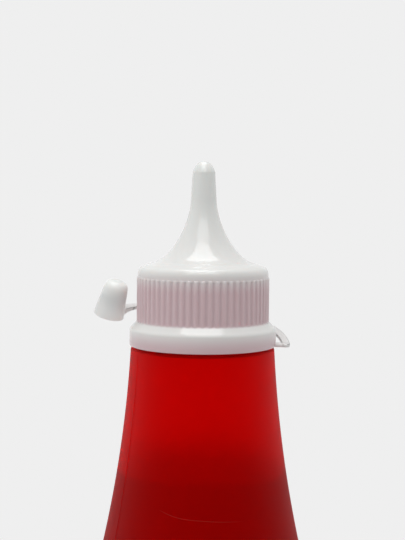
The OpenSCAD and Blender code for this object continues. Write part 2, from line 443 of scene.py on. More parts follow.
@dataclass(frozen=True)
class RedPlastic(MouldedFinish):
    """Translucent red squeeze plastic, with a few specks of dust and a long painted highlight line, which is
    sized in millimetres.
    """

    colour: Colour = (0.84, 0.002, 0.0015)
    shine_tint: Colour = (0.25, 0.02, 0.02)
    clearness: float = 0.80
    ior: float = 1.22
    cloud: float = 25.0
    cloud_detail: float = 3.0
    cloud_share: float = 0.25
    cloud_shade: float = 0.86
    # A painted highlight line on the front: its paler colour, strength, height, width, ends, fall and curl.
    highlight_line_colour: Colour = (0.95, 0.10, 0.08)
    highlight_line_share: float = 0.5
    highlight_line_z: float = 88.0
    highlight_line_half_w: float = 0.22
    highlight_line_left: Point = (-12.9, -8.9)
    highlight_line_right: Point = (13.0, 3.5)
    highlight_line_fall: float = 0.064
    curl_x: float = -4.0
    curl: float = 0.021
    speck_cells: float = 110.0
    speck_edge: Point = (0.035, 0.02)
    speck_patch: float = 140.0
    speck_rare: float = 0.68
    speck_share: float = 0.4

    def material(self) -> bpy.types.Material:
        """Builds the material.

        Returns:
            The material.
        """
        kit, shader, material = self.start()
        where, place = kit.place()
        cloud = self.surface(kit, shader, where)
        colour = kit.mix(cloud, self.colour, darker(self.colour, self.cloud_shade))
        # Marks in a paler red: dust specks, and a painted highlight line on the front.
        specks_and_highlight = kit.math("MAXIMUM", self.painted_highlight_line(kit, place), self.specks(kit, where))
        kit.put(shader.inputs["Base Color"], kit.mix(specks_and_highlight, colour, self.highlight_line_colour))
        shader.inputs["Transmission Weight"].default_value = self.clearness
        shader.inputs["IOR"].default_value = self.ior
        shader.inputs["Specular Tint"].default_value = (*self.shine_tint, 1.0)
        return material

    def painted_highlight_line(self, kit: Nodes, place: Sequence[Socket]) -> Feed:
        """A painted highlight: a long fine pale line on the front, nearly level on the right and curling up
        on the left.

        Args:
            kit: The material's node kit.
            place: The piece's own x, y and z.

        Returns:
            A mask of the painted highlight line.
        """
        x, y, z = place
        past = kit.math("MAXIMUM", kit.math("SUBTRACT", self.curl_x * MM, x), 0.0)
        slope = kit.math("MULTIPLY_ADD", x, -self.highlight_line_fall, self.highlight_line_z * MM)
        level = kit.math("MULTIPLY_ADD", kit.product(past, past), self.curl / MM, slope)
        line = kit.near(z, level, self.highlight_line_half_w * MM)
        left, right = [kit.step(x, off * MM, on * MM) for off, on in (self.highlight_line_left, self.highlight_line_right)]
        front = kit.math("LESS_THAN", y, 0.0)
        return kit.product(line, left, right, front, self.highlight_line_share)

    def specks(self, kit: Nodes, where: Socket) -> Feed:
        """A few tiny specks of dust.

        Args:
            kit: The material's node kit.
            where: The piece's own coordinates.

        Returns:
            A mask of the specks.
        """
        cells = kit.add("ShaderNodeTexVoronoi", None, Vector=where, Scale=self.speck_cells)
        dot = kit.step(cells.outputs["Distance"], *self.speck_edge)
        few = kit.math("GREATER_THAN", kit.noise(where, self.speck_patch, 0.0), self.speck_rare)
        return kit.product(dot, few, self.speck_share)


@dataclass(frozen=True)
class WetKetchup(Finish):
    """Thick ketchup, dark red and wet, with fine pulp in it."""

    colour: Colour = (0.29, 0.0045, 0.0015)
    pulp_colour: Colour = (0.20, 0.0035, 0.0015)
    pulp_scale: float = 900.0
    pulp_detail: float = 4.0
    pulp_roughness: float = 0.25

    def material(self) -> bpy.types.Material:
        """Builds the material.

        Returns:
            The material.
        """
        kit, shader, material = self.start()
        where, _ = kit.place()
        pulp = kit.noise(where, self.pulp_scale, self.pulp_detail)
        kit.put(shader.inputs["Base Color"], kit.mix(pulp, self.colour, self.pulp_colour))
        rough = kit.math("MULTIPLY_ADD", pulp, self.pulp_roughness, self.roughness)
        kit.put(shader.inputs["Roughness"], rough)
        bump = kit.add("ShaderNodeBump", None, Height=pulp, Distance=self.relief)
        kit.put(shader.inputs["Normal"], bump.outputs["Normal"])
        return material


@dataclass(frozen=True)
class WhitePlastic(MouldedFinish):
    """White cap plastic, with a painted pink shade where the red neck and shoulder lie behind it, which
    stands in for the red light that comes through the thin plastic and for shade.

    A fade is a pair of distances in millimetres past the height or radius that it starts from. The painted
    pink shade is absent at the first and full at the second.
    """

    colour: Colour = (0.79, 0.80, 0.78)
    # Painted pink shade: a darker pink that stands in for the red neck's light through the plastic and for
    # shade.
    painted_pink_shade: Colour = (0.63, 0.462, 0.488)
    has_painted_pink_shade: bool = True
    band_z: float = 136.0
    slope_z: float = 144.2
    rib_top_z: float = 157.0
    skirt_r: float = 20.2
    neck_painted_pink: float = 0.9
    valley_painted_pink: float = 0.14
    flare_painted_pink: float = 0.06
    rib_top_fade: Point = (2.5, -5.0)
    slope_fade: Point = (-0.8, 0.2)
    valley_fade: Point = (0.5, 0.0)
    band_fade: Point = (6.4, 0.4)
    flare_fade: Point = (22.0, 8.0)
    gloss: float = 0.6
    depth: float = 0.7
    depth_colour: Colour = (1.0, 0.9, 0.85)
    reach: float = 0.0015
    glow: float = 0.0

    def material(self) -> bpy.types.Material:
        """Builds the material.

        Returns:
            The material.
        """
        kit, shader, material = self.start()
        where, place = kit.place()
        cloud = self.surface(kit, shader, where)
        colour: Feed = self.colour
        # Paints the pink shade into the colour: red light through the thin wall and shade, strongest between
        # the ribs and low on the band.
        if self.has_painted_pink_shade:
            colour = kit.mix(self.painted_pink_share(kit, place), self.colour, self.painted_pink_shade)
        colour = kit.mix(cloud, colour, darker(self.colour, self.cloud_shade))
        kit.put(shader.inputs["Base Color"], colour)
        shader.inputs["Specular IOR Level"].default_value = self.gloss
        shader.inputs["Subsurface Weight"].default_value = self.depth
        shader.inputs["Subsurface Radius"].default_value = self.depth_colour
        shader.inputs["Subsurface Scale"].default_value = self.reach
        if self.glow:
            self.let_through(kit, shader, colour)
        return material

    def let_through(self, kit: Nodes, shader: bpy.types.Node, colour: Socket) -> None:
        """Mixes in light from behind, for a strip thin enough to glow.

        Args:
            kit: The material's node kit.
            shader: The Principled shader.
            colour: The plastic's colour.
        """
        behind = kit.add("ShaderNodeBsdfTranslucent", None, Color=colour)
        both = kit.add("ShaderNodeMixShader", None, Fac=self.glow)
        kit.put(both.inputs[1], shader.outputs["BSDF"])
        kit.put(both.inputs[2], behind.outputs["BSDF"])
        kit.put(kit.tree.nodes["Material Output"].inputs["Surface"], both.outputs["Shader"])

    def painted_pink_share(self, kit: Nodes, place: Sequence[Socket]) -> Socket:
        """How much painted pink shade shows, standing in for the red light behind and for shade: over the
        neck, most between the ribs, and over the shoulder.

        Args:
            kit: The material's node kit.
            place: The piece's own x, y and z.

        Returns:
            The share, from 0 to 1.
        """
        x, y, z = place
        upper, lower, valley, over_band, over_flare = [
            kit.step(value, (start + fade[0]) * MM, (start + fade[1]) * MM)
            for value, start, fade in (
                (z, self.rib_top_z, self.rib_top_fade),
                (z, self.slope_z, self.slope_fade),
                (kit.radius(x, y), self.skirt_r, self.valley_fade),
                (z, self.band_z, self.band_fade),
                (z, self.rib_top_z, self.flare_fade),
            )
        ]
        # The painted pink shade is strongest between the ribs, where the plastic is thinnest and shaded.
        thin = kit.math("MULTIPLY_ADD", valley, self.valley_painted_pink, self.neck_painted_pink)
        elsewhere = kit.math("MAXIMUM", over_band, kit.product(over_flare, self.flare_painted_pink))
        return kit.math("MINIMUM", kit.math("ADD", kit.product(upper, lower, thin), elsewhere), 1.0)


@dataclass(frozen=True)
class FloorPaint(Finish):
    """Matt pale floor paint, faintly mottled, which fades out from the second radius to the first."""

    shades: Point = (0.84, 0.87)
    mottle: float = 40.0
    gloss: float = 0.1
    fade: Point = (210.0, 60.0)

    def material(self) -> bpy.types.Material:
        """Builds the material.

        Returns:
            The material.
        """
        kit, shader, material = self.start()
        where, (x, y, _) = kit.place()
        dark, light = [(shade, shade, shade) for shade in self.shades]
        kit.put(shader.inputs["Base Color"], kit.mix(kit.noise(where, self.mottle, 4.0), dark, light))
        shader.inputs["Roughness"].default_value = self.roughness
        shader.inputs["Specular IOR Level"].default_value = self.gloss
        kit.put(shader.inputs["Alpha"], kit.step(kit.radius(x, y), self.fade[0] * MM, self.fade[1] * MM))
        return material


# ---------------------------------------------------------------- the bottle


@dataclass
class Bottle:
    """The blow-moulded bottle and the ketchup in it."""

    body_r: float
    rim_z: float
    fill_z: float
    neck_h: float = 23.4
    neck_r: float = 18.6
    neck_wall: float = 1.8
    shoulder_r: float = 22.6
    shoulder_lean: float = 3.3
    shoulder_edge_r: float = 1.0
    flare_h: float = 66.0
    turn_h: float = 24.0
    heel_r: float = 5.0
    foot_w: float = 4.0
    base_rise: float = 2.0
    wall: float = 1.2
    base_t: float = 1.6
    rim_edge_r: float = 0.4
    parting_angle: float = 29.6
    parting_rise: float = 0.12
    parting_half_w: float = 0.22
    parting_drop: float = 2.0
    parting_facing: float = 0.3
    ketchup_lap: float = 0.3
    film_h: float = 0.6
    film_t: float = 0.25
    cling_h: float = 2.0
    cling_w: float = 3.2
    cling_drop: float = 1.0
    ripple_h: float = 0.45
    ripples: tuple[tuple[int, float, float], ...] = ((3, 0.7, 1.0), (5, 2.1, 0.6), (11, 0.0, 0.4))
    segments: int = 192
    ketchup_segments: int = 144

    @property
    def shoulder_z(self) -> float:
        """Height of the shoulder that the neck stands on."""
        return self.rim_z - self.neck_h

    def foot_lean(self) -> float:
        """Lean of the side where the hollow flare meets the outward turn, found by halving.

        Returns:
            The lean from upright, in degrees.
        """
        grow, low, high = self.body_r - self.shoulder_r, 0.0, 60.0
        for _ in range(30):
            middle = (low + high) / 2
            got = self.flare_h * math.tan(math.radians(self.shoulder_lean + middle) / 2)
            got += self.turn_h * math.tan(math.radians(middle) / 2)
            low, high = (middle, high) if got < grow else (low, middle)
        return (low + high) / 2

    def side(self) -> list[Point]:
        """The outer side: an outward turn over the heel, then the hollow flare.

        Returns:
            Points as (radius, height), from the top of the heel up to the rounded shoulder.
        """
        lean = self.foot_lean()
        sine = math.sin(math.radians(lean))
        turn_r = self.turn_h / sine
        flare_r = self.flare_h / (sine - math.sin(math.radians(self.shoulder_lean)))
        turn_z = self.shoulder_z - self.shoulder_edge_r - self.flare_h - self.turn_h
        centre = (self.body_r - turn_r, turn_z)
        turn = arc(centre, turn_r, 0, lean, 12)
        reach = turn_r + flare_r
        hollow = (centre[0] + reach * math.cos(math.radians(lean)), centre[1] + reach * sine)
        return turn + arc(hollow, flare_r, 180 + lean, 180 + self.shoulder_lean, 34)[1:]

    def outline(self) -> list[Point]:
        """The closed section of the bottle's wall.

        Returns:
            Points as (radius, height), from the middle of the base out, up the outside and down the inside.
        """
        foot_r = self.body_r - self.heel_r
        flat_r = foot_r - self.foot_w - self.base_rise
        edge = (self.shoulder_r - self.shoulder_edge_r, self.shoulder_z - self.shoulder_edge_r)
        bore_r = self.neck_r - self.neck_wall
        side = self.side()
        floor_z = self.base_rise + self.base_t
        inner_r = self.heel_r - self.wall
        rim = (self.neck_r - self.rim_edge_r, self.rim_z - self.rim_edge_r)
        return [
            (0.0, self.base_rise),
            *stretch((0.0, self.base_rise), (flat_r, self.base_rise), 4),
            *arc((flat_r, 0.0), self.base_rise, 90, 15, 5),
            *arc((foot_r, self.heel_r), self.heel_r, -90, 0),
            *stretch((self.body_r, self.heel_r), side[0], 10),
            *side,
            *arc(edge, self.shoulder_edge_r, self.shoulder_lean, 90)[1:],
            (self.neck_r, self.shoulder_z),
            *arc(rim, self.rim_edge_r, 0, 90, 4),
            (bore_r, self.rim_z),
            (bore_r, self.shoulder_z - self.wall),
            *[(r - self.wall, z) for r, z in reversed(side)],
            *arc((self.body_r - self.wall - inner_r, floor_z + inner_r), inner_r, 0, -90),
            (0.0, floor_z),
        ]

    def build_shell(self) -> bpy.types.Object:
        """Spins the bottle and raises the mould's parting line along both its sides.

        Returns:
            The finished piece.
        """
        mesh = spun(self.outline(), self.segments)
        turn = math.radians(self.parting_angle)
        across = Vector((-math.sin(turn), math.cos(turn), 0.0))
        for offset in (-self.parting_half_w, 0.0, self.parting_half_w):
            bmesh.ops.bisect_plane(
                mesh,
                geom=mesh.verts[:] + mesh.edges[:] + mesh.faces[:],
                plane_co=across * offset * MM,
                plane_no=across,
                dist=WELD,
            )
        top, foot = (self.shoulder_z - self.parting_drop) * MM, self.heel_r * MM
        for vert in mesh.verts:
            flat = Vector((vert.co.x, vert.co.y, 0.0))
            outer = flat.length > 0.0 and vert.normal.dot(flat) > self.parting_facing * flat.length
            if outer and abs(vert.co.dot(across)) < 10 * WELD and foot < vert.co.z < top:
                vert.co += flat.normalized() * self.parting_rise * MM
        bmesh.ops.recalc_face_normals(mesh, faces=mesh.faces[:])
        return seat(finished(mesh, "bottle_wall"), "bottle", Slot.BOTTLE)

    def build_ketchup(self) -> bpy.types.Object:
        """Spins the ketchup, which laps into the wall and clings to it a little above its surface.

        Returns:
            The finished piece.
        """
        floor_z = self.base_rise + self.base_t - self.ketchup_lap
        inner_r = self.heel_r - self.wall + self.ketchup_lap
        out = self.wall - self.ketchup_lap
        cling_z, film_z = self.fill_z - self.cling_drop, self.fill_z + self.film_h
        side = [(r - out, z) for r, z in self.side() if z < cling_z]
        wall_r, film_r = [next(r for r, z in self.side() if z > level) - out for level in (cling_z, film_z)]
        pool_r = wall_r - self.cling_w
        outline = [
            (0.0, floor_z),
            *arc((self.body_r - out - inner_r, floor_z + inner_r), inner_r, -90, 0),
            *side,
            (film_r, film_z),
            (film_r - self.ketchup_lap - self.film_t, film_z - self.film_h / 2),
            *arc((pool_r, self.fill_z + self.cling_h), self.cling_h, 0, -90, 6),
            *stretch((pool_r, self.fill_z), (0.0, self.fill_z), 8),
            (0.0, self.fill_z),
        ]
        mesh = spun(outline, self.ketchup_segments)
        self.ruffle(mesh, wall_r)
        return seat(finished(mesh, "ketchup_fill"), "ketchup", Slot.KETCHUP)

    def ruffle(self, mesh: bmesh.types.BMesh, wall_r: float) -> None:
        """Makes the surface of the ketchup uneven, most of all where it clings to the wall.

        Args:
            mesh: The spun ketchup.
            wall_r: Radius of its side at the surface.
        """
        for vert in mesh.verts:
            if vert.co.z < (self.fill_z - self.cling_drop / 2) * MM:
                continue
            turn = math.atan2(vert.co.y, vert.co.x)
            reach = math.hypot(vert.co.x, vert.co.y) / (wall_r * MM)
            swell = sum(share * math.sin(lobes * turn + phase) for lobes, phase, share in self.ripples)
            vert.co.z += self.ripple_h * MM * swell * reach**3

    def dress(self, shell: bpy.types.Object, ketchup: bpy.types.Object) -> None:
        """Gives the shell and the ketchup their finishes."""
        shell.data.materials.append(RedPlastic("red_plastic", 0.6, relief=0.00006, swell=60.0).material())
        ketchup.data.materials.append(WetKetchup("wet_ketchup", 0.3, relief=0.0001).material())


# ---------------------------------------------------------------- the cap


@dataclass
class Cap:
    """The white moulding round the axis: band, ribbed skirt, roof and spout."""

    band_z: float
    tip_z: float
    bottle: Bottle
    cap_fit: float = 0.2
    skirt_wall: float = 1.6
    rib_count: int = 60
    rib_depth: float = 0.38
    rib_half_turn: float = 2.1
    rib_top_drop: float = 0.4
    rib_head_rise: float = 0.2
    rib_head_h: float = 0.5
    rib_foot_rise: float = 0.5
    groove_row: float = 0.1
    collar_inset: float = 0.28
    collar_drop: float = 0.5
    band_step: float = 2.6
    band_h: float = 5.5
    band_slope_h: float = 2.4
    band_corner_r: float = 1.5
    band_wall: float = 1.6
    band_edge_r: float = 0.4
    roof_t: float = 1.8
    roof_inset: float = 4.0
    roof_crown: float = 1.0
    roof_edge_w: float = 1.6
    roof_edge_h: float = 2.6
    roof_edge_turn: float = 75.0
    spout_curve: float = 1.65
    spout_r: float = 4.0
    spout_h: float = 8.4
    spout_wall: float = 1.4
    tip_r: float = 3.5
    tip_flat_r: float = 1.1
    tip_ring: float = 0.04
    tip_ring_h: float = 0.3
    nose_h: float = 3.3
    nose_curve: float = 1.4
    orifice_r: float = 0.9
    orifice_edge: float = 0.1
    steps_per_rib: int = 8
    skirt_slack: float = 0.01

    @property
    def bore_r(self) -> float:
        """Radius of the bore over the neck."""
        return self.bottle.neck_r + self.cap_fit

    @property
    def skirt_r(self) -> float:
        """Radius of the skirt between its ribs."""
        return self.bore_r + self.skirt_wall

    @property
    def band_r(self) -> float:
        """Outer radius of the band."""
        return self.skirt_r + self.band_step

    @property
    def slope_z(self) -> float:
        """Height of the top of the band's sloping edge."""
        return self.band_z + self.band_h + self.band_slope_h

    @property
    def roof_z(self) -> float:
        """Height of the roof at its edge."""
        return self.bottle.rim_z + self.roof_t

    @property
    def rib_top_z(self) -> float:
        """Height of the ribs' upper ends."""
        return self.roof_z - self.roof_edge_h - self.rib_top_drop

    @property
    def collar_r(self) -> float:
        """Radius of the plain collar over the ribs."""
        return self.skirt_r + self.rib_depth - self.collar_inset

    def roof_edge(self) -> list[Point]:
        """The roof's rounded edge, a quarter of an ellipse.

        Returns:
            Points as (radius, height), from near its top down to the collar.
        """
        foot_z = self.roof_z - self.roof_edge_h
        inner_r = self.collar_r - self.roof_edge_w
        turns = [math.radians(self.roof_edge_turn * (1 - i / 16)) for i in range(17)]
        return [
            (inner_r + self.roof_edge_w * math.cos(t), foot_z + self.roof_edge_h * math.sin(t)) for t in turns
        ]

    def band_corner(self) -> list[Point]:
        """The rounded corner between the band's sloping edge and its wall.

        Returns:
            Points as (radius, height), from the slope down to the wall.
        """
        lean = math.degrees(math.atan2(self.band_step, self.band_slope_h))
        drop = self.band_corner_r * math.tan(math.radians(lean / 2))
        centre = (self.band_r - self.band_corner_r, self.band_z + self.band_h - drop)
        return arc(centre, self.band_corner_r, lean, 0, 10)

    def spout_radius(self, z: float) -> float:
        """Radius of the slim spout at a height."""
        nose_z = self.tip_z - self.nose_h
        return self.tip_r + (self.spout_r - self.tip_r) * max(0.0, nose_z - z) / self.spout_h

    def nose(self, high: float, grow: float = 0.0) -> list[Point]:
        """The rounded nose from its flat end down to its foot.

        Args:
            high: Height of its flat end.
            grow: How far it is grown outwards.

        Returns:
            The points in order, with both ends.
        """
        power = 2 / self.nose_curve
        turns = [math.pi / 2 * i / 12 for i in range(13)]
        return [
            (
                self.tip_flat_r + grow + (self.tip_r - self.tip_flat_r) * math.sin(t) ** power,
                high - self.nose_h + self.nose_h * max(0.0, math.cos(t)) ** power,
            )
            for t in turns
        ]

    def tip(self) -> list[Point]:
        """The spout's end, with the small ring under its nose.

        Returns:
            Points as (radius, height), from inside the hole over the nose and down the slim spout.
        """
        nose_z = self.tip_z - self.nose_h
        ring_r, step = self.tip_r + self.tip_ring, self.tip_ring_h / 3
        low_z = nose_z - 2 * self.tip_ring_h
        low = (self.spout_radius(low_z), low_z)
        return [
            (self.orifice_r, self.tip_z - 3 * self.orifice_edge),
            (self.orifice_r + self.orifice_edge, self.tip_z),
            *self.nose(self.tip_z)[:-1],
            (self.tip_r, nose_z + step),
            (ring_r, nose_z - step),
            (ring_r, nose_z - self.tip_ring_h),
            low,
            *stretch(low, (self.spout_r, nose_z - self.spout_h), 5),
        ]

    def outline(self) -> list[Point]:
        """The closed section of the turned cap.

        Returns:
            Points as (radius, height), from the hole in the tip down the outside and back up inside.
        """
        nose_z = self.tip_z - self.nose_h
        spout_z = nose_z - self.spout_h
        crown_z = self.roof_z + self.roof_crown
        roof_r = self.skirt_r - self.roof_inset
        rim_z = self.bottle.rim_z
        flare = superellipse((roof_r, crown_z), (self.spout_r, spout_z), self.spout_curve)
        hollow_r = roof_r - self.spout_wall / 2
        inside = superellipse(
            (hollow_r, (rim_z + crown_z) / 2),
            (self.spout_r - self.spout_wall, spout_z - self.spout_wall),
            self.spout_curve,
            12,
        )
        corner = self.band_corner()
        edge_r = self.band_edge_r
        return [
            *self.tip(),
            *reversed(flare),
            *self.roof_edge(),
            *self.rib_rows(),
            *stretch((self.skirt_r, self.slope_z), corner[0], 9),
            *corner,
            *stretch(corner[-1], (self.band_r, self.band_z + edge_r), 4),
            *arc((self.band_r - edge_r, self.band_z + edge_r), edge_r, 0, -90, 5),
            (self.band_r - self.band_wall, self.band_z),
            (self.band_r - self.band_wall, self.band_z + self.band_h - self.band_wall),
            (self.bore_r, self.slope_z - self.band_wall),
            (self.bore_r, rim_z),
            (hollow_r, rim_z),
            *inside,
            (self.tip_r - self.spout_wall, nose_z),
            (self.orifice_r, self.tip_z - self.spout_wall),
        ]

    def rib_rows(self) -> list[Point]:
        """Rows down the skirt, over the rounded heads of the grooves.

        Returns:
            Points as (radius, height), from the collar to the foot of the ribs.
        """
        top, row = self.rib_top_z - self.collar_drop, self.groove_row
        depth = self.collar_r - self.skirt_r
        head = [(self.collar_r, top + row * (3 - i)) for i in range(7)]
        low, foot = (self.skirt_r, top - 4 * row), (self.skirt_r, self.slope_z + self.rib_foot_rise)
        return [*head, (self.skirt_r + depth / 3, top - 3.6 * row), low, *stretch(low, foot, 7), foot]

    def rib_radius(self, turn: float, z: float) -> float:
        """Radius of the ribs' surface.

        Args:
            turn: Angle round the axis, in degrees.
            z: Height above the base.

        Returns:
            The skirt's radius plus the rib's height there, with the rib's upper end rounded off.
        """
        pitch = 360.0 / self.rib_count
        off = (turn + pitch / 2) % pitch - pitch / 2
        ridge = math.sqrt(max(0.0, 1.0 - (off / self.rib_half_turn) ** 2))
        end = self.rib_top_z - self.collar_drop + self.rib_head_rise
        up = min(1.0, max(0.0, (end - z) / self.rib_head_h))
        return self.skirt_r + self.rib_depth * ridge * math.sqrt(1.0 - (1.0 - up) ** 2)

    def build_shell(self) -> bpy.types.Object:
        """Spins the cap and draws its grip ribs out of the skirt.

        Returns:
            The finished piece.
        """
        mesh = spun(self.outline(), self.rib_count * self.steps_per_rib)
        low, high = self.slope_z - self.band_slope_h, self.rib_top_z
        for vert in mesh.verts:
            radius, z = math.hypot(vert.co.x, vert.co.y) / MM, vert.co.z / MM
            if low < z < high and radius > self.skirt_r - self.skirt_slack:
                grown = max(radius, self.rib_radius(math.degrees(math.atan2(vert.co.y, vert.co.x)), z))
                vert.co.x *= grown / radius
                vert.co.y *= grown / radius
        return seat(finished(mesh, "cap_shell", 50.0), "cap", Slot.CAP)

    def dress(self, shell: bpy.types.Object) -> None:
        """Gives the turned cap its finish.

        Args:
            shell: The turned cap.
        """
        # The cap's finish paints a pink shade on the skirt, between the ribs, low on the band and faintly on
        # the flare.
        finish = WhitePlastic(
            "cap_plastic",
            0.12,
            swell=70.0,
            band_z=self.band_z,
            slope_z=self.slope_z,
            rib_top_z=self.rib_top_z,
            skirt_r=self.skirt_r,
        )
        shell.data.materials.append(finish.material())


@dataclass
class Tether:
    """The bridge, the strap and the tip cap, which hang on the cap."""

    cap: Cap
    strap_w: float = 2.5
    strap_end_w: float = 4.4
    strap_t: float = 1.1
    strap_end_t: float = 2.4
    strap_gap: float = 1.9
    bridge_w: float = 3.6
    bridge_lap: float = 0.8
    bridge_end: float = -3.0
    bridge_inset: float = 0.6
    crest_h: float = 11.2
    arc_end: float = 140.0
    arc_steps: int = 44
    tail: float = 14.8
    tail_steps: int = 10
    drop: float = 0.4
    lean: float = 20.0
    rise_start: float = 2.0
    crest_angle: float = 135.0
    rise_power: float = 1.05
    bank_turn: float = 30.0
    corner_r: float = 1.2
    corner_cut: float = 1.6
    corner_shares: tuple[float, ...] = (0.1, 0.4, 0.7, 0.9, 1.0)
    edge_r: float = 0.36
    cap_fit: float = 0.05
    cap_depth: float = 10.0
    cap_wall: float = 1.0
    cap_end_t: float = 1.9
    cap_draft: float = 5.2
    cap_corner_r: float = 2.6
    cap_crown: float = 0.2
    cap_rim_r: float = 0.25
    cap_lead_in: float = 0.15
    cap_segments: int = 96

    @property
    def strap_r(self) -> float:
        """Radius of the strap's middle on its arc."""
        return self.cap.band_r + self.strap_gap + self.strap_w / 2

    @property
    def start(self) -> float:
        """Angle at which the strap begins, in degrees."""
        return self.bridge_end - math.degrees(self.bridge_w / self.strap_r)

    @property
    def tip_cap_r(self) -> float:
        """Outer radius of the tip cap at its rim."""
        return self.cap.spout_radius(self.cap.tip_z - self.cap_depth) + self.cap_fit + self.cap_wall

    def height(self, turn: float) -> float:
        """Height of the strap's upper face on its arc: level at the bridge, then rising to the crest.

        Args:
            turn: Angle round the axis, in degrees.

        Returns:
            The height above the base.
        """
        share = (turn - self.rise_start) / (self.crest_angle - self.rise_start)
        rise = math.sin(math.pi / 2 * max(0.0, min(1.0, share))) ** self.rise_power
        return self.cap.band_z + self.strap_t + (self.crest_h - self.strap_t) * rise

    def bank(self, turn: float) -> float:
        """Lean of the strap's face on its arc, in degrees."""
        share = max(0.0, min(1.0, (turn - self.rise_start) / self.bank_turn))
        return self.lean * math.sin(math.pi / 2 * share)

    def station(self, place: Vector, turn: float, bank: float, width: float, depth: float) -> Matrix:
        """A frame on the strap.

        Args:
            place: Middle of the strap's upper face there, in millimetres.
            turn: Angle of the outward direction, in degrees.
            bank: Lean of the strap's face, in degrees.
            width: Width of the strap there.
            depth: Thickness of the strap there.

        Returns:
            The matrix from a section one unit wide, with X outwards and Z up, to its place in metres.
        """
        turned = Matrix.Rotation(math.radians(turn), 4, "Z") @ Matrix.Rotation(-math.radians(bank), 4, "Y")
        size = Matrix.Diagonal((width * MM, MM, depth * MM, 1.0))
        return Matrix.Translation(place * MM) @ turned @ size

    def tail_place(self, share: float) -> Vector:
        """Middle of the upper face on the straight end.

        Args:
            share: How far along it, from 0 at the arc's end to 1 at the tip cap's axis.

        Returns:
            The place, in millimetres.
        """
        turn = math.radians(self.arc_end)
        fall = self.drop * (1.0 - math.cos(math.pi / 2 * share))
        return Vector(
            (
                self.strap_r * math.cos(turn) - self.tail * share * math.sin(turn),
                self.strap_r * math.sin(turn) + self.tail * share * math.cos(turn),
                self.cap.band_z + self.crest_h - fall,
            )
        )

    def arc_stations(self) -> list[Matrix]:
        """The frames on the arc, narrowed at its start for the strap's rounded end.

        Returns:
            The frames in order, from the bridge to the end of the arc.
        """
        corner = math.degrees(self.corner_r / self.strap_r)
        sections = [
            (
                self.strap_w - self.corner_cut * self.corner_r * (1.0 - share),
                self.start + corner * (1.0 - math.sqrt(1.0 - share * share)),
            )
            for share in self.corner_shares
        ]
        sweep, steps = self.arc_end - self.start, self.arc_steps
        sections += [(self.strap_w, self.start + sweep * i / steps) for i in range(1, steps + 1)]
        made = []
        for width, turn in sections:
            cosine, sine = math.cos(math.radians(turn)), math.sin(math.radians(turn))
            place = Vector((self.strap_r * cosine, self.strap_r * sine, self.height(turn)))
            made.append(self.station(place, turn, self.bank(turn), width, self.strap_t))
        return made

    def tail_stations(self) -> list[Matrix]:
        """The frames on the straight end, which grows towards the tip cap's wall.

        Returns:
            The frames in order, without the one at the end of the arc.
        """
        reach = 1.0 - (self.tip_cap_r - self.cap_wall / 2) / self.tail
        made = []
        for i in range(1, self.tail_steps + 1):
            grow = (i / self.tail_steps) ** 3
            width = self.strap_w + (self.strap_end_w - self.strap_w) * grow
            depth = self.strap_t + (self.strap_end_t - self.strap_t) * grow
            place = self.tail_place(reach * i / self.tail_steps)
            made.append(self.station(place, self.arc_end, self.lean, width, depth))
        return made

    def build_strap(self) -> bpy.types.Object:
        """Extrudes the strap along its frames, rounds its long edges and adds the bridge.

        Returns:
            The finished piece.
        """
        mesh = bmesh.new()
        frames = self.arc_stations() + self.tail_stations()
        corners = [(-0.5, 0.0, -1.0), (0.5, 0.0, -1.0), (0.5, 0.0, 0.0), (-0.5, 0.0, 0.0)]
        face = mesh.faces.new([mesh.verts.new(frames[0] @ Vector(c)) for c in corners])
        for before, after in zip(frames, frames[1:]):
            grown = bmesh.ops.extrude_face_region(mesh, geom=[face])["geom"]
            moved = [g for g in grown if isinstance(g, bmesh.types.BMVert)]
            face = next(g for g in grown if isinstance(g, bmesh.types.BMFace))
            bmesh.ops.transform(mesh, matrix=after @ before.inverted(), verts=moved)
        bmesh.ops.recalc_face_normals(mesh, faces=mesh.faces[:])
        self.round_edges(mesh)
        self.add_bridge(mesh)
        return seat(finished(mesh, "cap_strap"), "cap", Slot.CAP)

    def round_edges(self, mesh: bmesh.types.BMesh) -> None:
        """Rounds every edge of a strip at which its faces turn sharply.

        Args:
            mesh: The strip.
        """
        sharp = [e for e in mesh.edges if e.is_manifold and e.calc_face_angle() > math.radians(60)]
        bmesh.ops.bevel(
            mesh,
            geom=sharp,
            offset=self.edge_r * MM,
            affect="EDGES",
            segments=3,
            profile=0.5,
            material=-1,
        )

    def add_bridge(self, mesh: bmesh.types.BMesh) -> None:
        """Adds the short flat bridge from the band to the strap, as a turned block.

        Args:
            mesh: The strap.
        """
        bridge = bmesh.new()
        low, high = self.cap.band_z, self.cap.band_z + self.strap_t
        inner, outer = self.cap.band_r - self.bridge_lap, self.cap.band_r + self.strap_gap + self.bridge_lap
        corners = [(inner, low), (outer, low), (outer, high), (inner, high)]
        face = bridge.faces.new([bridge.verts.new((r * MM, 0.0, z * MM)) for r, z in corners])
        turn = Matrix.Rotation(math.radians(self.start + self.bridge_inset), 4, "Z")
        bmesh.ops.transform(bridge, matrix=turn, verts=bridge.verts[:])
        bmesh.ops.spin(
            bridge,
            geom=[face, *face.edges, *face.verts],
            cent=(0, 0, 0),
            axis=(0, 0, 1),
            dvec=(0, 0, 0),
            angle=math.radians(self.bridge_end - self.start),
            steps=6,
            use_merge=False,
            use_duplicate=False,
        )
        bmesh.ops.recalc_face_normals(bridge, faces=bridge.faces[:])
        self.round_edges(bridge)
        spare = bpy.data.meshes.new("bridge")
        bridge.to_mesh(spare)
        bridge.free()
        mesh.from_mesh(spare)
        bpy.data.meshes.remove(spare)

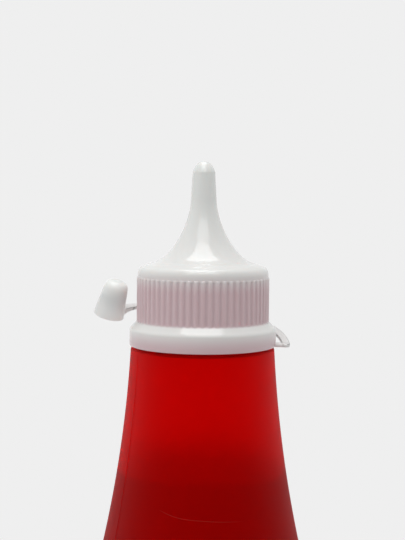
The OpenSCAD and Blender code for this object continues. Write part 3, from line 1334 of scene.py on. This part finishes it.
    def tip_cap_outline(self) -> list[Point]:
        """The closed section of the tip cap, standing on its rim.

        Returns:
            Points as (radius, height), up the outside, then from the axis back down the hollow.
        """
        high = self.cap_depth + self.cap_end_t
        top_r = self.tip_cap_r - high * math.tan(math.radians(self.cap_draft))
        corner = (top_r - self.cap_corner_r, high - self.cap_corner_r)
        bore_r, lead_in, rim_r = self.tip_cap_r - self.cap_wall, self.cap_lead_in, self.cap_rim_r
        crown = stretch((corner[0], high), (0.0, high + self.cap_crown), 4)
        return [
            (bore_r, lead_in),
            (bore_r + lead_in, 0.0),
            *arc((self.tip_cap_r - 1.2 * rim_r, rim_r), rim_r, -90, 0, 3),
            *stretch((self.tip_cap_r, rim_r), (top_r, high - self.cap_corner_r), 6),
            *arc(corner, self.cap_corner_r, self.cap_draft, 84, 12),
            *[(r, z - self.cap_crown * (r / corner[0]) * (1.0 - r / corner[0])) for r, z in crown],
            (0.0, high + self.cap_crown),
            (0.0, self.cap_depth),
            *self.cap.nose(self.cap_depth, self.cap_fit),
        ]

    def build_tip_cap(self) -> bpy.types.Object:
        """Spins the tip cap and leans it as the strap's end leans.

        Returns:
            The finished piece.
        """
        outline = self.tip_cap_outline()
        pole = next(i for i, p in enumerate(outline) if p[0] == 0.0)
        mesh = spun(outline[pole + 1 :] + outline[: pole + 1], self.cap_segments)
        turned = Matrix.Rotation(math.radians(self.arc_end), 4, "Z")
        turned = turned @ Matrix.Rotation(-math.radians(self.lean), 4, "Y")
        rim = self.tail_place(1.0) - turned @ Vector((0.0, 0.0, self.strap_end_t))
        bmesh.ops.transform(mesh, matrix=Matrix.Translation(rim * MM) @ turned, verts=mesh.verts[:])
        return seat(finished(mesh, "tip_cap"), "cap", Slot.CAP)

    def dress(self, strap: bpy.types.Object, tip_cap: bpy.types.Object) -> None:
        """Gives the strap and the tip cap the cap's plastic, with no red behind it and so no painted pink
        shade.

        Args:
            strap: The strap, thin enough to glow.
            tip_cap: The tip cap.
        """
        thin = WhitePlastic(
            "strap_plastic",
            0.26,
            swell=120.0,
            colour=(0.985, 0.985, 0.975),
            has_painted_pink_shade=False,
            depth=0.0,
            glow=0.3,
        )
        thick = WhitePlastic(
            "tip_cap_plastic",
            0.2,
            swell=120.0,
            colour=(0.82, 0.83, 0.80),
            has_painted_pink_shade=False,
            depth=1.0,
            reach=0.004,
        )
        for piece, finish in ((strap, thin), (tip_cap, thick)):
            piece.data.materials.append(finish.material())


# ---------------------------------------------------------------- the studio


@dataclass(frozen=True)
class SoftBox:
    """A soft box. Its places and its width and height are in millimetres, and its power is in watts."""

    name: str
    place: Place
    look_at: Place
    size: Point
    power: float

    def build(self) -> None:
        """Hangs the soft box and turns it to what it faces."""
        data = bpy.data.lights.new(self.name, "AREA")
        data.shape = "RECTANGLE"
        data.size, data.size_y = self.size[0] * MM, self.size[1] * MM
        data.energy = self.power
        lamp = bpy.data.objects.new(self.name, data)
        lamp.location = Vector(self.place) * MM
        lamp.rotation_mode = "QUATERNION"
        lamp.rotation_quaternion = (Vector(self.look_at) - Vector(self.place)).to_track_quat("-Z", "Y")
        bpy.context.scene.collection.objects.link(lamp)


@dataclass
class Studio:
    """A pale floor, soft light all round and a camera just above the band, looking slightly down."""

    target_z: float
    backdrop: float = 0.863
    front_level: float = 0.355
    back_gain: float = 0.4
    back_fade: Point = (-0.7, 0.5)
    left_gain: float = 0.32
    left_fade: Point = (0.4, -0.9)
    right_gain: float = 0.1
    right_fade: Point = (0.2, 0.9)
    overhead_cut: float = 0.45
    overhead_fade: Point = (0.15, 0.75)
    distance: float = 329.0
    eye_x: float = -0.22
    eye_rise: float = 42.7
    pitch: float = 3.32
    roll: float = 0.48
    lens: float = 70.0
    floor_r: float = 900.0
    floor_segments: int = 96

    def build_floor(self) -> None:
        """Lays a round floor that fades into the backdrop, so that no horizon shows."""
        mesh = bmesh.new()
        bmesh.ops.create_circle(mesh, cap_ends=True, segments=self.floor_segments, radius=self.floor_r * MM)
        floor = finished(mesh, "floor")
        floor.data.materials.append(FloorPaint("floor", 0.9).material())

    def build_world(self) -> None:
        """Lights a soft surround, pale to the camera, and brighter behind and beside than from the front."""
        world = bpy.data.worlds.new("surround")
        bpy.context.scene.world = world
        world.use_nodes = True
        kit = Nodes(world.node_tree)
        way = kit.add("ShaderNodeTexCoord").outputs["Generated"]
        x, y, z = kit.add("ShaderNodeSeparateXYZ", None, Vector=way).outputs
        level = kit.math("MULTIPLY_ADD", kit.step(y, *self.back_fade), self.back_gain, self.front_level)
        level = kit.math("MULTIPLY_ADD", kit.step(x, *self.left_fade), self.left_gain, level)
        level = kit.math("MULTIPLY_ADD", kit.step(x, *self.right_fade), self.right_gain, level)
        level = kit.math("MINIMUM", level, self.backdrop)
        overhead = kit.math("MULTIPLY_ADD", kit.step(z, *self.overhead_fade), -self.overhead_cut, 1.0)
        level = kit.product(level, overhead)
        grey = kit.add("ShaderNodeCombineColor", None, Red=level, Green=level, Blue=level).outputs[0]
        seen = kit.add("ShaderNodeLightPath").outputs["Is Camera Ray"]
        ground = world.node_tree.nodes["Background"]
        kit.put(ground.inputs["Color"], kit.mix(seen, grey, (self.backdrop, self.backdrop, self.backdrop)))
        ground.inputs["Strength"].default_value = 1.0

    def build_lights(self) -> None:
        """Hangs a soft box overhead and a wider one before it, a little nearer the camera."""
        overhead = SoftBox("ceiling_box", (-20.0, -80.0, 1100.0), (-20.0, -80.0, 100.0), (620.0, 860.0), 5.2)
        front = SoftBox("front_box", (-20.0, -820.0, 1020.0), (0.0, 0.0, self.target_z), (1100.0, 560.0), 4.0)
        for box in (overhead, front):
            box.build()

    def build_camera(self) -> None:
        """Sets the camera, level with the spout and tilted a little down."""
        data = bpy.data.cameras.new("camera")
        data.lens = self.lens
        data.sensor_width = 36.0
        data.clip_start, data.clip_end = 0.01, 20.0
        camera = bpy.data.objects.new("camera", data)
        camera.location = Vector((self.eye_x, -self.distance, self.target_z + self.eye_rise)) * MM
        tilt = Matrix.Rotation(math.radians(90.0 - self.pitch), 4, "X")
        camera.rotation_mode = "QUATERNION"
        camera.rotation_quaternion = (tilt @ Matrix.Rotation(math.radians(self.roll), 4, "Z")).to_quaternion()
        bpy.context.scene.collection.objects.link(camera)
        bpy.context.scene.camera = camera

    def build(self) -> None:
        """Builds the floor, the surround, the lights and the camera."""
        self.build_floor()
        self.build_world()
        self.build_lights()
        self.build_camera()
        bpy.context.scene.view_settings.view_transform = "Standard"


def main() -> None:
    """Builds the bottle, the ketchup, the cap with its tether, and the studio round them."""
    logging.basicConfig(level=logging.INFO, format="%(name)s: %(message)s")
    MouldedSurface().build()
    bottle_box, ketchup_box, cap_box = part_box("bottle"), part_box("ketchup"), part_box("cap")
    bottle = Bottle(bottle_box[1].x / MM, bottle_box[1].z / MM, ketchup_box[1].z / MM)
    bottle.dress(bottle.build_shell(), bottle.build_ketchup())
    cap = Cap(cap_box[0].z / MM, cap_box[1].z / MM, bottle)
    cap.dress(cap.build_shell())
    tether = Tether(cap)
    tether.dress(tether.build_strap(), tether.build_tip_cap())
    Studio(cap.band_z).build()


if __name__ == "__main__":
    main()
